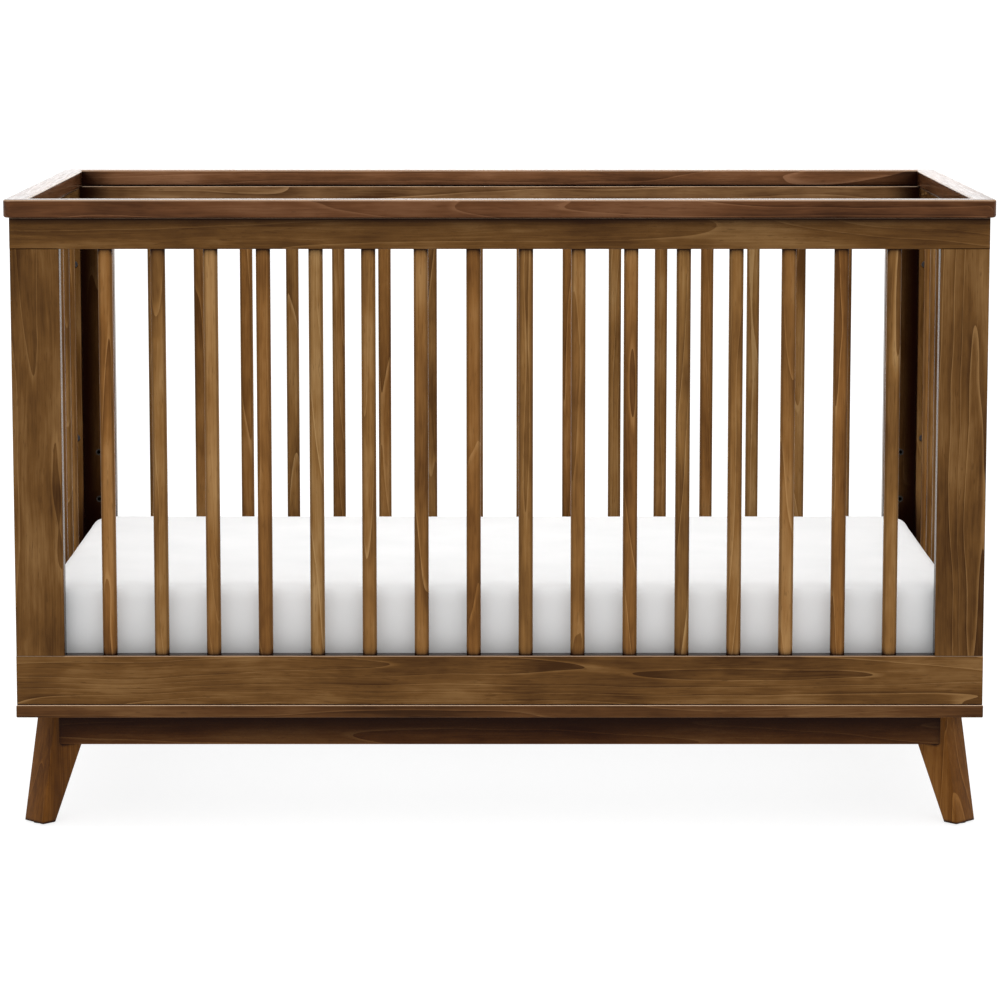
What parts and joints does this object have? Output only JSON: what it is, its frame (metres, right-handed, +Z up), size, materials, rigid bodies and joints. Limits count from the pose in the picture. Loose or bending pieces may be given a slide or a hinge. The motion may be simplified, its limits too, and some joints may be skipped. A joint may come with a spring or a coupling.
{
  "type": "baby crib",
  "caption": "Fixed-side wooden baby crib with slatted sides, splayed corner legs, a height-adjustable sprung mattress support and a mattress.",
  "frame": {"origin": "centre of the crib's footprint, on the floor under the foot glides", "axes": "+X along the length, towards the right end panel; +Y across the depth, from the front panel to the back panel; +Z up"},
  "size_m": [1.369, 0.76, 0.886],
  "materials": {
    "walnut_stain": "walnut stain under satin lacquer",
    "walnut_slats": "walnut stain under satin lacquer, a little lighter",
    "beech_dowel": "bare beech",
    "bolt_steel": "black oxide",
    "screw_zinc": "yellowish zinc plating",
    "insert_steel": "black zinc",
    "support_paint": "grey powder coat",
    "deck_wire": "grey powder coat",
    "spring_steel": "zinc plated",
    "glide_felt": "pressed felt",
    "mattress_cloth": "smooth white cover cloth"
  },
  "bodies": {
    "frame": {"front_upper_rail": "walnut_stain", "front_lower_rail": "walnut_stain", "front_left_stile": "walnut_stain", "front_right_stile": "walnut_stain", "front_slats": "walnut_slats", "back_upper_rail": "walnut_stain", "back_lower_rail": "walnut_stain", "back_left_stile": "walnut_stain", "back_right_stile": "walnut_stain", "back_slats": "walnut_slats", "left_end_upper_rail": "walnut_stain", "left_end_lower_rail": "walnut_stain", "left_end_front_stile": "walnut_stain", "left_end_back_stile": "walnut_stain", "left_end_slats": "walnut_slats", "right_end_upper_rail": "walnut_stain", "right_end_lower_rail": "walnut_stain", "right_end_front_stile": "walnut_stain", "right_end_back_stile": "walnut_stain", "right_end_slats": "walnut_slats", "front_cap": "walnut_stain", "back_cap": "walnut_stain", "left_cap": "walnut_stain", "right_cap": "walnut_stain", "front_base_board": "walnut_stain", "back_base_board": "walnut_stain", "left_base_board": "walnut_stain", "right_base_board": "walnut_stain", "front_apron": "walnut_stain", "back_apron": "walnut_stain", "left_apron": "walnut_stain", "right_apron": "walnut_stain", "front_left_leg": "walnut_stain", "front_right_leg": "walnut_stain", "back_left_leg": "walnut_stain", "back_right_leg": "walnut_stain", "foot_glides": "glide_felt", "cap_dowels": "beech_dowel", "panel_dowels": "beech_dowel", "end_panel_dowels": "beech_dowel", "corner_bolts": "bolt_steel", "corner_inserts": "insert_steel", "base_bolts": "bolt_steel", "base_inserts": "insert_steel", "leg_bolts": "bolt_steel", "leg_inserts": "insert_steel", "apron_screws": "screw_zinc", "support_bolts": "bolt_steel", "support_inserts": "insert_steel"},
    "mattress_support": {"support_front_tube": "support_paint", "support_back_tube": "support_paint", "support_left_tube": "support_paint", "support_right_tube": "support_paint", "support_crossbars": "support_paint", "hanger_brackets": "support_paint", "deck_long_wires": "deck_wire", "deck_cross_wires": "deck_wire", "deck_springs": "spring_steel"},
    "mattress": {"mattress": "mattress_cloth"}
  },
  "joints": [
    {"name": "support_height", "type": "slide", "parent": "frame", "child": "mattress_support", "axis": [0, 0, 1], "range_m": [0, 0.225]},
    {"name": "mattress_lift", "type": "slide", "parent": "mattress_support", "child": "mattress", "axis": [0, 0, 1], "range_m": [0, 0.75]}
  ]
}
